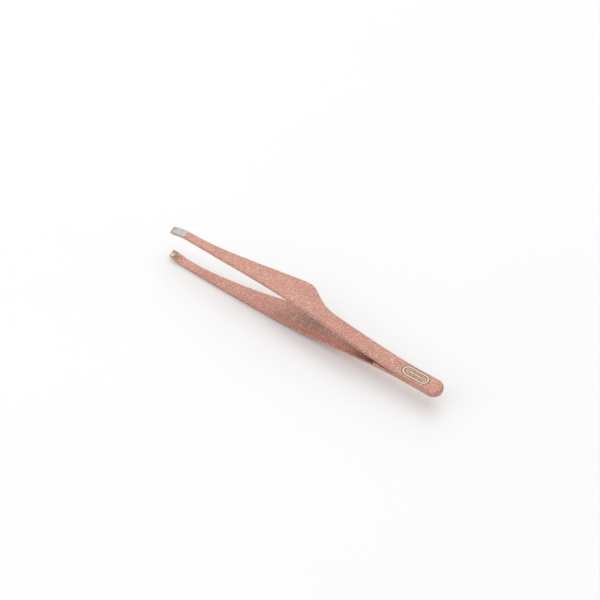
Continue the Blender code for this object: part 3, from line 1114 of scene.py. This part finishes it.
# %% [markdown]
# ## The floor
# Small tools are shown on a pale sheet. A single square, far larger than the tweezers, takes the
# soft contact shadow that tells the eye where they stand.

# %% The floor
FLOOR_HALF = 3.0
FLOOR_WHITE = (0.93, 0.93, 0.93)
floor_mesh = bpy.data.meshes.new("floor")
floor_corners = [(x * FLOOR_HALF, y * FLOOR_HALF, low[2]) for x, y in ((-1, -1), (1, -1), (1, 1), (-1, 1))]
floor_mesh.from_pydata(floor_corners, [], [(0, 1, 2, 3)])
floor = bpy.data.objects.new("floor", floor_mesh)
bpy.context.scene.collection.objects.link(floor)
floor_material, floor_tree, floor_shader = new_material("pale_floor")
shade = use_group(floor_tree, cloud_tree, Grain=6.0, Low=0.985, High=1.0)["Value"]
finish_with(floor_tree, floor_shader, Base_Color=scale_colour(floor_tree, FLOOR_WHITE, shade),
            Roughness=0.7)
floor_mesh.materials.append(floor_material)
print(f"floor {2 * FLOOR_HALF:.0f} m across")

# %% [markdown]
# ## The lights
# Metal shows what is round it, so the lights are large and soft, and the world behind them is
# white. One lamp hangs overhead, one stands beyond the finger rests, and one fills in from
# the front. A small hard lamp would put one glaring spot on each flake instead.

# %% Three lamps and the world
LAMPS = {
    "overhead": ((0.0, 0.1, 1.0), 1.2, 2.9),
    "softbox": ((-0.7, 0.9, 0.95), 1.6, 4.9),
    "front": ((-0.7, -0.8, 0.8), 1.2, 3.5),
}
WORLD_STRENGTH = 0.64


def area_light(name, place, size, power):
    """A round lamp whose -Z axis points from its place to the middle of the scene."""
    lamp = bpy.data.lights.new(name, "AREA")
    lamp.shape = "DISK"
    lamp.size = size
    lamp.energy = power
    holder = bpy.data.objects.new(name, lamp)
    bpy.context.scene.collection.objects.link(holder)
    holder.location = place
    way = -np.array(place)
    holder.rotation_euler = (math.atan2(math.hypot(way[0], way[1]), -way[2]), 0.0,
                             math.atan2(way[1], way[0]) - math.pi / 2)
    print(f"lamp {name}: {power} W over {size} m")


for name, (place, size, power) in LAMPS.items():
    area_light(name, place, size, power)
world = bpy.data.worlds.new("studio")
bpy.context.scene.world = world
world.use_nodes = True
world.node_tree.nodes["Background"].inputs["Color"].default_value = (1.0, 1.0, 1.0, 1.0)
world.node_tree.nodes["Background"].inputs["Strength"].default_value = WORLD_STRENGTH
bpy.context.scene.view_settings.view_transform = "Standard"

# %% [markdown]
# ## The camera
# The camera looks from behind the butt, down along the blades, through a long lens, which keeps
# the near end from swelling. Its three axes are worked out from two angles and a roll, and go into
# one matrix, so nothing has to be aimed by hand.

# %% The camera
AZIMUTH, ELEVATION, ROLL = math.radians(30.0), math.radians(46.3), math.radians(-6.6)
DISTANCE = 0.497
LENS = 103.75
SHIFT_X, SHIFT_Y = -0.0034, 0.0238
back = np.array([math.sin(AZIMUTH) * math.cos(ELEVATION), -math.cos(AZIMUTH) * math.cos(ELEVATION),
                 math.sin(ELEVATION)])
level_right = np.cross(-back, (0.0, 0.0, 1.0))
level_right /= np.linalg.norm(level_right)
level_up = np.cross(level_right, -back)
right = math.cos(ROLL) * level_right - math.sin(ROLL) * level_up
up = math.sin(ROLL) * level_right + math.cos(ROLL) * level_up
target = np.array([(low[0] + high[0]) / 2, CENTRE_Y, MIDDLE_Z])
stance = np.eye(4)
stance[:3, 0], stance[:3, 1], stance[:3, 2] = right, up, back
stance[:3, 3] = target + DISTANCE * back
lens_data = bpy.data.cameras.new("camera")
lens_data.lens = LENS
lens_data.shift_x = SHIFT_X
lens_data.shift_y = SHIFT_Y
camera = bpy.data.objects.new("camera", lens_data)
bpy.context.scene.collection.objects.link(camera)
camera.matrix_world = stance.T
bpy.context.scene.camera = camera
print(f"camera {DISTANCE} m away, {math.degrees(ELEVATION):.1f} degrees up")
